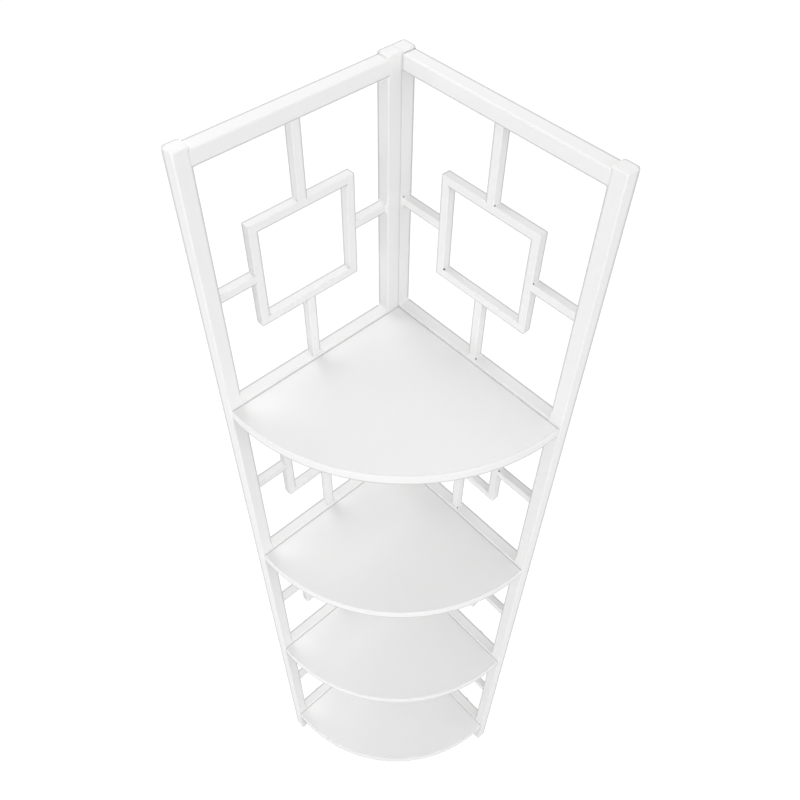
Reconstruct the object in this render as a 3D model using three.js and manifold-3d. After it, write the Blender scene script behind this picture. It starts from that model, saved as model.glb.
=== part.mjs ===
// Corner shelf unit: two lattice panels of square steel tube meet at a right angle, and four
// quarter-round shelves of folded sheet are bolted between them. Millimetres, +Z up. The room's
// corner is at low X and high Y, so the front looks towards +X and -Y. Seen from the front, the
// left panel stands along Y and the right panel along X. Levels are counted from the top.

import * as THREE from 'three';
import { mergeVertices } from 'three/addons/utils/BufferGeometryUtils.js';
import Module from 'manifold-3d';

const wasm = await Module();
wasm.setup();

// Whole unit. The lowest rail's height is that of its top
const overallHeight = 1500;
const rightPanelWidth = 305;
const leftPanelWidth = 275.7;
const cornerSeam = 0.8;
const lowestRailHeight = 90;
const levels = 4;

// Square tube of the posts and rails
const tubeSide = 19;
const tubeWall = 1.2;
const tubeCornerRadius = 2;
const tubeCornerSteps = 2;
const weldGap = 0.3;
const weldOverlap = 0.3;

// Lattice rings and the short bars that hold them, of a thinner tube
const latticeSide = 12;
const latticeWall = 1;
const latticeCornerRadius = 1.2;
const latticeCornerSteps = 1;
const ringWidth = 144;
const ringHeight = 143;
const ventDiameter = 6;
const ventSides = 8;

// Shelves of folded sheet. The bulge is how far the front edge's arc stands out from a straight
// line between its two tips
const shelfBulge = 82.3;
const shelfSheet = 1.2;
const shelfDrop = 4;
const shelfLip = 15;
const shelfGap = 0.3;
const shelfTipSetback = 1.8;
const shelfArcSteps = 40;

// Caps on top of the posts and glides under them
const capRise = 3;
const capEdgeRadius = 1.6;
const capEdgeSteps = 2;
const glideRise = 3;
const glideEdgeRadius = 0.8;
const glideEdgeSteps = 1;
const plugLength = 14;
const plugWall = 1.8;
const plugGap = 0.3;
const plugSeatGap = 0.2;

// Button-head bolts with a hexagon socket, and their weld nuts
const boltDiameter = 6;
const boltPastNut = 2.6;
const headDiameter = 10.5;
const headHeight = 3.3;
const headSteps = 3;
const socketWidth = 4;
const socketDepth = 2;
const headGap = 0.2;
const boltHoleGap = 0.3;
const nutWidth = 10;
const nutHeight = 5;
const boltFromPost = 45;
const cornerBoltMargin = 60;
const cornerBolts = 3;
const roundSides = 12;
const hexSides = 6;

// How far a cutting solid runs past what it cuts
const overrun = 1;

// Places that follow from the sizes above
const depth = tubeSide + cornerSeam + leftPanelWidth;
const postBottom = glideRise + plugSeatGap;
const postTop = overallHeight - capRise - plugSeatGap;
const railPitch = (postTop - lowestRailHeight) / levels;
const railTop = (level) => postTop - level * railPitch;
const shelfTop = (level) => railTop(level) - shelfDrop;
const boltDrop = shelfDrop + shelfLip / 2;
const shelfBoltLength = headGap + tubeSide + shelfGap + shelfSheet + nutHeight - weldOverlap + boltPastNut;
const cornerBoltLength = headGap + tubeSide + cornerSeam + tubeWall + nutHeight - weldOverlap + boltPastNut;
const levelNumbers = Array.from({ length: levels }, (_, index) => index + 1);
const railBoltPlaces = (width) => [tubeSide + boltFromPost, width - tubeSide - boltFromPost];
const cornerBoltHeights = Array.from({ length: cornerBolts }, (_, index) => THREE.MathUtils.lerp(
  postTop - postBottom - cornerBoltMargin, cornerBoltMargin, index / (cornerBolts - 1)));

// Finishes
const coat = () => new THREE.MeshStandardMaterial({ color: 0xf0f0ef, roughness: 0.42, metalness: 0 });
const shelfCoat = () => new THREE.MeshStandardMaterial({ color: 0xececeb, roughness: 0.45, metalness: 0 });
const plastic = () => new THREE.MeshStandardMaterial({ color: 0xf3f3f2, roughness: 0.5, metalness: 0 });
const zinc = () => new THREE.MeshStandardMaterial({ color: 0xb9bcc0, roughness: 0.35, metalness: 1 });

// Turns a closed geometry into a solid that can be joined and cut
function solid(geometry) {
  geometry.deleteAttribute('normal');
  geometry.deleteAttribute('uv');
  const merged = mergeVertices(geometry);
  const vertProperties = Float32Array.from(merged.attributes.position.array);
  const triVerts = Uint32Array.from(merged.index.array);
  return new wasm.Manifold(new wasm.Mesh({ numProp: 3, vertProperties, triVerts }));
}

// Turns a solid back into a geometry
function surface(body) {
  const { vertProperties, triVerts } = body.getMesh();
  const geometry = new THREE.BufferGeometry();
  geometry.setAttribute('position', new THREE.BufferAttribute(vertProperties, 3));
  geometry.setIndex(new THREE.BufferAttribute(triVerts, 1));
  return geometry;
}

// Cuts every tool out of a body
function carve(body, tools) {
  return surface(tools.reduce((rest, tool) => rest.subtract(solid(tool)), body));
}

// Joins geometries that reach into one another
function joined(geometries) {
  return geometries.map(solid).reduce((body, piece) => body.add(piece));
}

function named(name, geometry, material) {
  const mesh = new THREE.Mesh(geometry, material);
  mesh.name = name;
  return mesh;
}

// Outline of a square with rounded corners, about the origin
function roundedSquare(side, radius) {
  const middle = side / 2 - radius;
  const outline = new THREE.Shape();
  const quarter = Math.PI / 2;
  [[1, 1], [-1, 1], [-1, -1], [1, -1]].forEach(([x, y], corner) => {
    outline.absarc(x * middle, y * middle, radius, corner * quarter, (corner + 1) * quarter, false);
  });
  outline.closePath();
  return outline;
}

// Square outline with sharp corners, about the origin
function plainSquare(side, Kind = THREE.Shape) {
  const half = side / 2;
  const corners = [[1, 1], [-1, 1], [-1, -1], [1, -1]];
  return new Kind(corners.map(([x, y]) => new THREE.Vector2(x * half, y * half)));
}

// Hollow square tube standing on the origin along +Z
function tube(length, side, wall, radius, steps) {
  const section = roundedSquare(side, radius);
  section.holes.push(plainSquare(side - 2 * wall, THREE.Path));
  const options = { depth: length, bevelEnabled: false, curveSegments: steps };
  return new THREE.ExtrudeGeometry(section, options);
}

function frameTube(length) {
  return tube(length, tubeSide, tubeWall, tubeCornerRadius, tubeCornerSteps);
}

function latticeTube(length) {
  return tube(length, latticeSide, latticeWall, latticeCornerRadius, latticeCornerSteps);
}

// Round cutting rod of a bolt's clearance hole, along Y from one place to another
function holeRod(x, z, fromY, toY) {
  const radius = boltDiameter / 2 + boltHoleGap;
  return new THREE.CylinderGeometry(radius, radius, toY - fromY, roundSides)
    .translate(x, (fromY + toY) / 2, z);
}

// Lays a tube that stands along +Z down along +X
const alongX = (geometry) => geometry.rotateY(Math.PI / 2);

// A section swept round a rectangle in the XZ plane with mitred corners. The section's X counts
// from the rectangle's edge inwards and its Y lies along Y
function mitredLoop(width, height, section) {
  const corners = [[1, 1], [1, -1], [-1, -1], [-1, 1]];
  const places = corners.flatMap(([x, z]) => section.flatMap(
    (point) => [x * (width / 2 - point.x), point.y, z * (height / 2 - point.x)]));
  const count = section.length;
  const faces = corners.flatMap((_, side) => section.flatMap((__, step) => {
    const here = side * count + step;
    const next = side * count + (step + 1) % count;
    const [hereOn, nextOn] = [here, next].map((index) => (index + count) % (corners.length * count));
    return [here, next, nextOn, here, nextOn, hereOn];
  }));
  const geometry = new THREE.BufferGeometry();
  geometry.setAttribute('position', new THREE.Float32BufferAttribute(places, 3));
  geometry.setIndex(faces);
  return geometry;
}

// Points of an outline without the closing one, moved so that it starts at x = 0
function sectionPoints(outline, side, steps, start) {
  const points = outline.getPoints(steps);
  if (points[0].distanceTo(points[points.length - 1]) < Number.EPSILON * side) points.pop();
  return points.map((point) => new THREE.Vector2(point.x + side / 2 + start, point.y));
}

// Ring of thin tube with the four bars that hold it in a bay of the given clear width and height,
// about the origin. A vent in the ring's wall drains it into the lower bar
function lattice(bayWidth, bayHeight) {
  const skin = sectionPoints(
    roundedSquare(latticeSide, latticeCornerRadius), latticeSide, latticeCornerSteps, 0);
  const boreSide = latticeSide - 2 * latticeWall;
  const bore = sectionPoints(plainSquare(boreSide), boreSide, latticeCornerSteps, latticeWall);
  const ring = solid(mitredLoop(ringWidth, ringHeight, skin)).subtract(
    solid(mitredLoop(ringWidth, ringHeight, bore)));
  const across = (bayWidth - ringWidth) / 2 - weldGap + weldOverlap;
  const upright = (bayHeight - ringHeight) / 2 - weldGap + weldOverlap;
  const bars = [
    alongX(latticeTube(across)).translate(ringWidth / 2 - weldOverlap, 0, 0),
    alongX(latticeTube(across)).translate(weldOverlap - ringWidth / 2 - across, 0, 0),
    latticeTube(upright).translate(0, 0, ringHeight / 2 - weldOverlap),
    latticeTube(upright).translate(0, 0, weldOverlap - ringHeight / 2 - upright),
  ];
  const radius = ventDiameter / 2;
  const vent = new THREE.CylinderGeometry(radius, radius, latticeSide, ventSides)
    .rotateX(Math.PI / 2).translate(0, 0, -ringHeight / 2);
  return carve(ring.add(joined(bars)), [vent]);
}

// Blank of a hexagon nut about the Y axis, from its seat towards -Y
function nutBlank(x, seatY, z) {
  const corner = nutWidth / 2 / Math.cos(Math.PI / hexSides);
  return new THREE.CylinderGeometry(corner, corner, nutHeight, hexSides)
    .translate(x, seatY - nutHeight / 2 + weldOverlap, z);
}

// Rail between two posts, with the bolt holes of a shelf if it carries one
function rail(width, carriesShelf) {
  const bar = alongX(frameTube(width - 2 * tubeSide - 2 * weldGap)).translate(tubeSide + weldGap, 0, 0);
  if (!carriesShelf) return bar;
  const holeZ = tubeSide / 2 - boltDrop;
  const reach = tubeSide / 2 + overrun;
  return carve(solid(bar), railBoltPlaces(width).map((x) => holeRod(x, holeZ, -reach, reach)));
}

// Plain post standing on its glide
const plainPost = () => frameTube(postTop - postBottom);

// Corner post of the right panel, which the corner bolts pass right through
function rightCornerPost() {
  const reach = tubeSide / 2 + overrun;
  return carve(solid(plainPost()), cornerBoltHeights.map((height) => holeRod(0, height, -reach, reach)));
}

// Corner post of the left panel, with the corner bolts' nuts welded inside its wall
function leftCornerPost() {
  const innerFace = tubeSide / 2 - tubeWall;
  const nuts = cornerBoltHeights.map((height) => nutBlank(0, innerFace, height));
  const rods = cornerBoltHeights.map((height) => holeRod(0, height, 0, tubeSide));
  return carve(joined([plainPost(), ...nuts]), rods);
}

// Moulded plug: a plate with rounded edges above a hollow square spigot. It fills the tube below z = 0
function plug(rise, edgeRadius, edgeSteps) {
  const plate = new THREE.ExtrudeGeometry(roundedSquare(tubeSide, tubeCornerRadius), {
    depth: rise, bevelEnabled: true, bevelThickness: edgeRadius, bevelSize: edgeRadius,
    bevelOffset: -edgeRadius, bevelSegments: edgeSteps, curveSegments: tubeCornerSteps,
  }).translate(0, 0, -edgeRadius);
  const trim = 2 * edgeRadius + overrun;
  const below = new THREE.BoxGeometry(tubeSide + overrun, tubeSide + overrun, trim)
    .translate(0, 0, -trim / 2);
  const spigotSide = tubeSide - 2 * tubeWall - 2 * plugGap;
  const spigot = new THREE.BoxGeometry(spigotSide, spigotSide, plugLength)
    .translate(0, 0, -plugLength / 2);
  const hollowSide = spigotSide - 2 * plugWall;
  const hollow = new THREE.BoxGeometry(hollowSide, hollowSide, plugLength)
    .translate(0, 0, -plugLength / 2 - plugWall);
  return surface(solid(plate).subtract(solid(below)).add(solid(spigot)).subtract(solid(hollow)));
}

// Button-head bolt with its seat at the origin, its shank along -Y and its head along +Y
function bolt(length) {
  const headRadius = headDiameter / 2;
  const dome = Array.from({ length: headSteps }, (_, index) => {
    const angle = index / headSteps * Math.PI / 2;
    const inwards = headRadius - (headRadius - socketWidth) * (1 - Math.cos(angle));
    return new THREE.Vector2(inwards, headHeight * Math.sin(angle));
  });
  const profile = [
    new THREE.Vector2(0, -length),
    new THREE.Vector2(boltDiameter / 2, -length),
    new THREE.Vector2(boltDiameter / 2, 0),
    ...dome,
    new THREE.Vector2(socketWidth, headHeight),
    new THREE.Vector2(0, headHeight),
  ];
  const socketRadius = socketWidth / 2 / Math.cos(Math.PI / hexSides);
  const socketLength = socketDepth + overrun;
  const socket = new THREE.CylinderGeometry(socketRadius, socketRadius, socketLength, hexSides)
    .translate(0, headHeight - socketDepth + socketLength / 2, 0);
  return carve(solid(new THREE.LatheGeometry(profile, roundSides)), [socket]);
}

// A welded panel along +X with its wall face at y = 0, and the bolts that hold the shelves to it
function latticePanel(side, width, posts) {
  const panel = new THREE.Group();
  const middleY = -tubeSide / 2;
  const bayWidth = width - 2 * tubeSide;
  const bayHeight = railPitch - tubeSide;
  posts.forEach(([name, geometry], index) => {
    const upright = named(`${side}_${name}`, geometry, coat());
    upright.position.set(tubeSide / 2 + index * (width - tubeSide), middleY, postBottom);
    panel.add(upright);
  });
  [0, ...levelNumbers].forEach((level) => {
    const name = level === 0 ? `${side}_top_rail` : `${side}_shelf_rail_${level}`;
    const bar = named(name, rail(width, level > 0), coat());
    bar.position.set(0, middleY, railTop(level) - tubeSide / 2);
    panel.add(bar);
  });
  levelNumbers.forEach((level) => {
    const filling = named(`${side}_lattice_${level}`, lattice(bayWidth, bayHeight), coat());
    filling.position.set(width / 2, middleY, railTop(level) + bayHeight / 2);
    panel.add(filling);
    railBoltPlaces(width).forEach((x, index) => {
      const name = `${side}_shelf_bolt_${level}_${index + 1}`;
      const fastener = named(name, bolt(shelfBoltLength), zinc());
      fastener.position.set(x, headGap, railTop(level) - boltDrop);
      panel.add(fastener);
    });
  });
  return panel;
}

// Radius and centre of the shelves' front arc, which runs through both tips
function shelfArc() {
  const leftTip = new THREE.Vector2(tubeSide + shelfGap, shelfTipSetback - depth);
  const rightTip = new THREE.Vector2(rightPanelWidth - shelfTipSetback, -tubeSide - shelfGap);
  const chord = rightTip.clone().sub(leftTip);
  const inwards = new THREE.Vector2(-chord.y, chord.x).normalize();
  const arcRadius = (chord.lengthSq() / 4 + shelfBulge ** 2) / (2 * shelfBulge);
  const centre = leftTip.lerp(rightTip, 1 / 2).addScaledVector(inwards, arcRadius - shelfBulge);
  return { arcRadius, centre };
}

// Quarter-round outline of a shelf, drawn in from its edge by the given inset
function shelfOutline(inset) {
  const { arcRadius, centre } = shelfArc();
  const radius = arcRadius - inset;
  const leftX = tubeSide + shelfGap + inset;
  const rightY = -leftX;
  const fromAngle = Math.asin((rightY - centre.y) / radius);
  const toAngle = -Math.acos((leftX - centre.x) / radius);
  const outline = new THREE.Shape();
  outline.moveTo(leftX, rightY);
  outline.lineTo(leftX, centre.y + radius * Math.sin(toAngle));
  outline.absarc(centre.x, centre.y, radius, toAngle, fromAngle, false);
  outline.closePath();
  return outline;
}

// Shelf from its top surface at z = 0 down to the lip's edge, open below, with the nuts welded
// inside its two flanges and the bolt holes through both
function shelf() {
  const options = { bevelEnabled: false, curveSegments: shelfArcSteps / 2, depth: shelfLip };
  const outside = new THREE.ExtrudeGeometry(shelfOutline(0), options).translate(0, 0, -shelfLip);
  const inside = new THREE.ExtrudeGeometry(shelfOutline(shelfSheet), options)
    .translate(0, 0, -shelfLip - shelfSheet);
  const seat = -tubeSide - shelfGap - shelfSheet;
  const middleZ = -shelfLip / 2;
  const turned = (geometry) => geometry.rotateZ(Math.PI / 2).translate(0, -depth, 0);
  const alongFlanges = (make) => [
    ...railBoltPlaces(rightPanelWidth).map(make),
    ...railBoltPlaces(leftPanelWidth).map((x) => turned(make(x))),
  ];
  const nuts = alongFlanges((x) => nutBlank(x, seat, middleZ));
  const rods = alongFlanges((x) => holeRod(x, middleZ, seat - nutHeight - overrun, -tubeSide));
  const tray = solid(outside).subtract(solid(inside));
  return carve(tray.add(joined(nuts)), rods);
}

function shelves() {
  const stack = new THREE.Group();
  levelNumbers.forEach((level) => {
    const tray = named(`shelf_${level}`, shelf(), shelfCoat());
    tray.position.z = shelfTop(level);
    stack.add(tray);
  });
  return stack;
}

// Bolts that tie the two corner posts together
function cornerTies() {
  const ties = new THREE.Group();
  cornerBoltHeights.forEach((height, index) => {
    const fastener = named(`corner_bolt_${index + 1}`, bolt(cornerBoltLength), zinc());
    fastener.position.set(tubeSide / 2, headGap, postBottom + height);
    ties.add(fastener);
  });
  return ties;
}

// Caps and glides of the four posts
function postEnds() {
  const ends = new THREE.Group();
  const middle = tubeSide / 2;
  const places = {
    left_front: [middle, middle - depth],
    left_corner: [middle, -tubeSide - cornerSeam - middle],
    right_corner: [middle, -middle],
    right_front: [rightPanelWidth - middle, -middle],
  };
  Object.entries(places).forEach(([place, [x, y]]) => {
    const cap = named(`${place}_cap`, plug(capRise, capEdgeRadius, capEdgeSteps), plastic());
    cap.position.set(x, y, overallHeight - capRise);
    const glide = named(`${place}_glide`, plug(glideRise, glideEdgeRadius, glideEdgeSteps), plastic());
    glide.position.set(x, y, glideRise);
    glide.rotation.x = Math.PI;
    ends.add(cap, glide);
  });
  return ends;
}

// The unit, with the centre of its base at the origin
function cornerShelfUnit() {
  const unit = new THREE.Group();
  const rightPanel = latticePanel(
    'right', rightPanelWidth, [['corner_post', rightCornerPost()], ['front_post', plainPost()]]);
  const turnedPost = leftCornerPost().rotateZ(-Math.PI / 2);
  const leftPosts = [['front_post', plainPost()], ['corner_post', turnedPost]];
  const leftPanel = latticePanel('left', leftPanelWidth, leftPosts);
  leftPanel.rotation.z = Math.PI / 2;
  leftPanel.position.y = -depth;
  unit.add(rightPanel, leftPanel, shelves(), cornerTies(), postEnds());
  const headReach = headGap + headHeight;
  unit.position.set((headReach - rightPanelWidth) / 2, (depth - headReach) / 2, 0);
  return unit;
}

export default cornerShelfUnit();
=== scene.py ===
"""Corner shelf unit: two lattice panels of white coated tube with four quarter-round shelves.

The frame gives every node at its place, in metres. This script softens and coats the tubes, lays
the weld beads, folds the shelves, turns the bolts, and sets the floor, the light and the camera.
"""

import logging
import math
import random
from dataclasses import dataclass
from enum import Enum
from typing import Any, Callable, Iterable, Sequence

import bmesh
import bpy
from mathutils import Matrix, Vector


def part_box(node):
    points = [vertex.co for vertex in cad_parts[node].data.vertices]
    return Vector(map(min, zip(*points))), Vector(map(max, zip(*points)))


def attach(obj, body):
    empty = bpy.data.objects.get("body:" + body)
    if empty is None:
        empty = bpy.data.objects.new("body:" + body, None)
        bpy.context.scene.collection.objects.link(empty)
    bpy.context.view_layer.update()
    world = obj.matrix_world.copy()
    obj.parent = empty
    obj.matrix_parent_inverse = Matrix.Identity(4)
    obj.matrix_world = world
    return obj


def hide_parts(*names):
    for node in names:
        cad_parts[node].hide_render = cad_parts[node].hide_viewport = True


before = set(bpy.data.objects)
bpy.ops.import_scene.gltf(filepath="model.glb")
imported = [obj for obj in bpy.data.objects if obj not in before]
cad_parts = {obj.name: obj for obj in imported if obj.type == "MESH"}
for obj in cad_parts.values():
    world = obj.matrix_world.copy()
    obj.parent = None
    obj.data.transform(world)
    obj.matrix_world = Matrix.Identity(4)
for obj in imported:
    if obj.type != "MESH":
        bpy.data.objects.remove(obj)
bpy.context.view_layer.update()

LOG = logging.getLogger("corner_shelf_unit")
MM = 0.001
UP = Vector((0, 0, 1))

# The shelves, counted from the top
LEVELS = (1, 2, 3, 4)

# A quarter turn, and the signs of X and Y in a plane's four quarters
QUARTER = math.pi / 2
QUARTERS = ((1, 1), (-1, 1), (-1, -1), (1, -1))

# Direction out into the room and up, the side from which the unit is lit. Painted shade greys an edge
# where one face looks towards it and the other away from it, both by more than TURNED. FADE_IN is how
# far a face looks towards it where the mask of the painted shade is 0 and where it is full.
LIGHT_SIDE = Vector((1, -1, 1)).normalized()
TURNED = 0.1
FADE_IN = (-0.40, -0.10)

# How far a face looks in a direction to count as a face of that side
FACING = 0.5

# Marks that the meshes carry: painted shade along edges, and painted shade on the floors of blow holes
RIM = "rim"
PIT = "pit"

# Where most of a noise's values lie, and the whole range of a mask
MOST = (0.3, 0.7)
FULL = (0.0, 1.0)

# Numbers of the mix node's colour sockets
MIX_FIRST, MIX_SECOND, MIX_RESULT = 6, 7, 2

# Corners of the frame tube, and how the two corner posts meet
TUBE_CORNER = 2 * MM
SEAM_GROWTH = 0.275 * MM
LEFT_SEAM_CORNER = 0.7 * MM
RIGHT_SEAM_CORNER = 0.9 * MM

Socket = bpy.types.NodeSocket
Ring = Sequence[Vector]
Ends = tuple[Vector, Vector]
Colour = tuple[float, float, float]
Pair = tuple[float, float]


class Slot(str, Enum):
    """The record's material slots."""

    FRAME = "frame_coat"
    LATTICE = "lattice_coat"
    SHELF = "shelf_coat"
    CAP = "cap_plastic"
    GLIDE = "glide_plastic"
    BOLT = "bolt_zinc"


class Side(Enum):
    """The two panels: name in the nodes, direction along the rails and direction into the room."""

    RIGHT = ("right", Vector((1, 0, 0)), Vector((0, -1, 0)))
    LEFT = ("left", Vector((0, 1, 0)), Vector((1, 0, 0)))

    def __init__(self, label: str, along: Vector, out: Vector) -> None:
        """Keeps the panel's name and directions."""
        self.label, self.along, self.out = label, along, out

    @property
    def free(self) -> Vector:
        """Direction along the wall from the room's corner to the panel's free end."""
        return self.along if self is Side.RIGHT else -self.along


# Shader graphs


def fill(tree: bpy.types.NodeTree, node: bpy.types.Node, values: dict[Any, Any]) -> None:
    """Fills a node's inputs.

    Args:
        tree: Node tree that holds it.
        node: The node.
        values: For each input, by name or number, its value or the socket that is wired to it.
    """
    for name, value in values.items():
        if isinstance(value, Socket):
            tree.links.new(value, node.inputs[name])
        else:
            node.inputs[name].default_value = value


def add_node(tree: bpy.types.NodeTree, kind: str, values: dict[Any, Any], output: int | str = 0,
             **settings: Any) -> Socket:
    """Adds a node.

    Args:
        tree: Node tree that takes it.
        kind: Its type.
        values: What its inputs take, as fill reads it.
        output: Name or number of the output to pass on.
        settings: Its own settings.

    Returns:
        Socket of that output.
    """
    node = tree.nodes.new(kind)
    for name, value in settings.items():
        setattr(node, name, value)
    fill(tree, node, values)
    return node.outputs[output]


class Graph:
    """The shader nodes of one material."""

    def __init__(self, name: str) -> None:
        """Starts a material with its Principled shader.

        Args:
            name: Name of the material.
        """
        self.material = bpy.data.materials.new(name)
        self.material.use_nodes = True
        self.tree = self.material.node_tree
        self.places = self.add("ShaderNodeTexCoord", {}, "Object")
        self.flat = self.add("ShaderNodeNewGeometry", {}, "True Normal")

    def add(self, kind: str, values: dict[Any, Any], output: int | str = 0, **settings: Any) -> Socket:
        """Adds a node to this material, as add_node does."""
        return add_node(self.tree, kind, values, output, **settings)

    def finish(self, values: dict[str, Any]) -> bpy.types.Material:
        """Fills the Principled shader's inputs and gives the finished material."""
        fill(self.tree, self.tree.nodes["Principled BSDF"], values)
        return self.material

    def noise(self, size: float, detail: float = 2.0, rough: float = 0.5) -> Socket:
        """Noise from 0 to 1 by the width of its lumps in metres, its finer layers and their share."""
        values = {"Vector": self.places, "Scale": 1 / size, "Detail": detail, "Roughness": rough}
        return self.add("ShaderNodeTexNoise", values, "Fac")

    def span(self, value: Socket, before: Pair, after: Pair) -> Socket:
        """A value, with the first range mapped onto the second."""
        ends = zip(("From Min", "From Max", "To Min", "To Max"), before + after)
        return self.add("ShaderNodeMapRange", {"Value": value, **dict(ends)}, "Result")

    def combine(self, operation: str, first: Socket, second: Socket) -> Socket:
        """Two values put together, as the maths node's operation says."""
        return self.add("ShaderNodeMath", {0: first, 1: second}, operation=operation)

    def blend(self, share: Socket, first: Colour | Socket, second: Colour) -> Socket:
        """The first colour, or the one that its socket gives, with a share of the second."""
        ends = {MIX_FIRST: first if isinstance(first, Socket) else (*first, 1), MIX_SECOND: (*second, 1)}
        return self.add("ShaderNodeMix", {"Factor": share, **ends}, MIX_RESULT, data_type="RGBA")

    def dot(self, first: Socket, second: Vector | Socket) -> Socket:
        """Dot product of two directions."""
        return self.add("ShaderNodeVectorMath", {0: first, 1: second}, "Value", operation="DOT_PRODUCT")

    def mark(self, name: str) -> Socket:
        """How full one of the meshes' marks is, RIM or PIT."""
        return self.add("ShaderNodeAttribute", {}, "Fac", attribute_name=name)

    def rims(self) -> Socket:
        """Mask of painted shade on the edges that turn away from the lit side, on the part of them that
        still looks towards it.
        """
        met = self.span(self.dot(self.flat, LIGHT_SIDE), FADE_IN, FULL)
        return self.combine("MULTIPLY", self.mark(RIM), met)

    def edges(self, reach: float, turned: Pair) -> Socket:
        """Mask of the sharp edges by its reach in metres and how far a rounded normal has turned."""
        rounded = self.add("ShaderNodeBevel", {"Radius": reach}, "Normal", samples=4)
        return self.span(self.dot(rounded, self.flat), turned, FULL)

    def bump(self, height: Socket, depth: float, below: Socket | None = None) -> Socket:
        """Normal of a relief by its height, its depth in metres and the coarser relief under it."""
        coarser = {} if below is None else {"Normal": below}
        return self.add("ShaderNodeBump", {"Distance": depth, "Height": height, **coarser}, "Normal")


# Finishes


@dataclass(frozen=True)
class PowderCoat:
    """Baked powder coat: a satin skin with soft waves, a fine grain, and painted shade on edges and in blow
    holes.
    """

    name: str
    colour: Colour
    thin_colour: Colour
    roughness: float = 0.36
    cloud_size: float = 180 * MM
    cloud_share: float = 0.16
    patch_size: float = 14 * MM
    patch_share: float = 0.10
    patch_gloss: float = 0.03
    rim_dryness: float = 0.12
    wave_size: float = 1.3 * MM
    wave_height: float = 0.022 * MM
    grain_size: float = 0.22 * MM
    grain_height: float = 0.003 * MM
    # Colours of the painted shade on edges and in the floors of blow holes
    edge_shade_colour: Colour = (0.55, 0.55, 0.55)
    pit_shade_colour: Colour = (0.10, 0.10, 0.10)

    def material(self) -> bpy.types.Material:
        """Builds the coat.

        Returns:
            The finished material.
        """
        graph = Graph(self.name)
        cloud = graph.span(graph.noise(self.cloud_size, 3.0), MOST, (0.0, self.cloud_share))
        patch = graph.noise(self.patch_size)
        tone = graph.combine("ADD", cloud, graph.span(patch, MOST, (0.0, self.patch_share)))
        # Painted shade: grey on the edges that turn away from the lit side
        rim = graph.rims()
        skin = graph.blend(rim, graph.blend(tone, self.colour, self.thin_colour), self.edge_shade_colour)
        glosses = (self.roughness + self.patch_gloss, self.roughness - self.patch_gloss)
        dry = graph.span(rim, FULL, (0.0, self.rim_dryness))
        waves = graph.bump(graph.noise(self.wave_size, 1.0), self.wave_height)
        return graph.finish({
            # Painted shade: dark on the floors of blow holes
            "Base Color": graph.blend(graph.mark(PIT), skin, self.pit_shade_colour),
            "Roughness": graph.combine("ADD", graph.span(patch, MOST, glosses), dry),
            "Normal": graph.bump(graph.noise(self.grain_size), self.grain_height, waves),
            "IOR": 1.5,
            "Specular IOR Level": 0.35,
        })


@dataclass(frozen=True)
class MouldedPlastic:
    """Injection moulded plastic with a mould grain, faint flow clouds and painted shade on edges beside the
    wall.
    """

    name: str
    colour: Colour
    cloud_colour: Colour
    roughness: float = 0.42
    cloud_size: float = 9 * MM
    grain_size: float = 0.35 * MM
    grain_height: float = 0.006 * MM
    grain_gloss: float = 0.05
    # Colour of the painted shade on the edges beside the wall
    wall_edge_shade: Colour = (0.55, 0.55, 0.55)

    def material(self) -> bpy.types.Material:
        """Builds the plastic.

        Returns:
            The finished material.
        """
        graph = Graph(self.name)
        cloud = graph.span(graph.noise(self.cloud_size, 3.0), MOST, FULL)
        body = graph.blend(cloud, self.colour, self.cloud_colour)
        grain = graph.noise(self.grain_size)
        glosses = (self.roughness - self.grain_gloss, self.roughness + self.grain_gloss)
        return graph.finish({
            # Painted shade: grey on the rounded edges beside the wall
            "Base Color": graph.blend(graph.rims(), body, self.wall_edge_shade),
            "Roughness": graph.span(grain, MOST, glosses),
            "Normal": graph.bump(grain, self.grain_height),
            "IOR": 1.49,
            "Subsurface Weight": 0.05,
            "Subsurface Scale": 1.5 * MM,
        })


@dataclass(frozen=True)
class ZincPlate:
    """Bright zinc plate on steel, with passivation clouds, fine pitting and rubbed edges."""

    name: str
    colour: Colour
    cloud_colour: Colour
    roughness: float = 0.3
    cloud_size: float = 3 * MM
    cloud_range: Pair = (0.35, 0.65)
    cloud_gloss: Pair = (-0.05, 0.12)
    rubbed_reach: float = 0.35 * MM
    rubbed_turn: Pair = (0.995, 0.90)
    rubbed_gloss: float = -0.1
    pitting_size: float = 0.3 * MM
    pitting_depth: float = 0.004 * MM

    def material(self) -> bpy.types.Material:
        """Builds the plate.

        Returns:
            The finished material.
        """
        graph = Graph(self.name)
        cloud = graph.span(graph.noise(self.cloud_size, 4.0, 0.6), self.cloud_range, FULL)
        rubbed = graph.span(
            graph.edges(self.rubbed_reach, self.rubbed_turn), FULL, (0.0, self.rubbed_gloss))
        glosses = (self.roughness + self.cloud_gloss[0], self.roughness + self.cloud_gloss[1])
        return graph.finish({
            "Base Color": graph.blend(cloud, self.colour, self.cloud_colour),
            "Roughness": graph.combine("ADD", graph.span(cloud, FULL, glosses), rubbed),
            "Normal": graph.bump(graph.noise(self.pitting_size, 3.0), self.pitting_depth),
            "Metallic": 1.0,
        })


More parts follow.
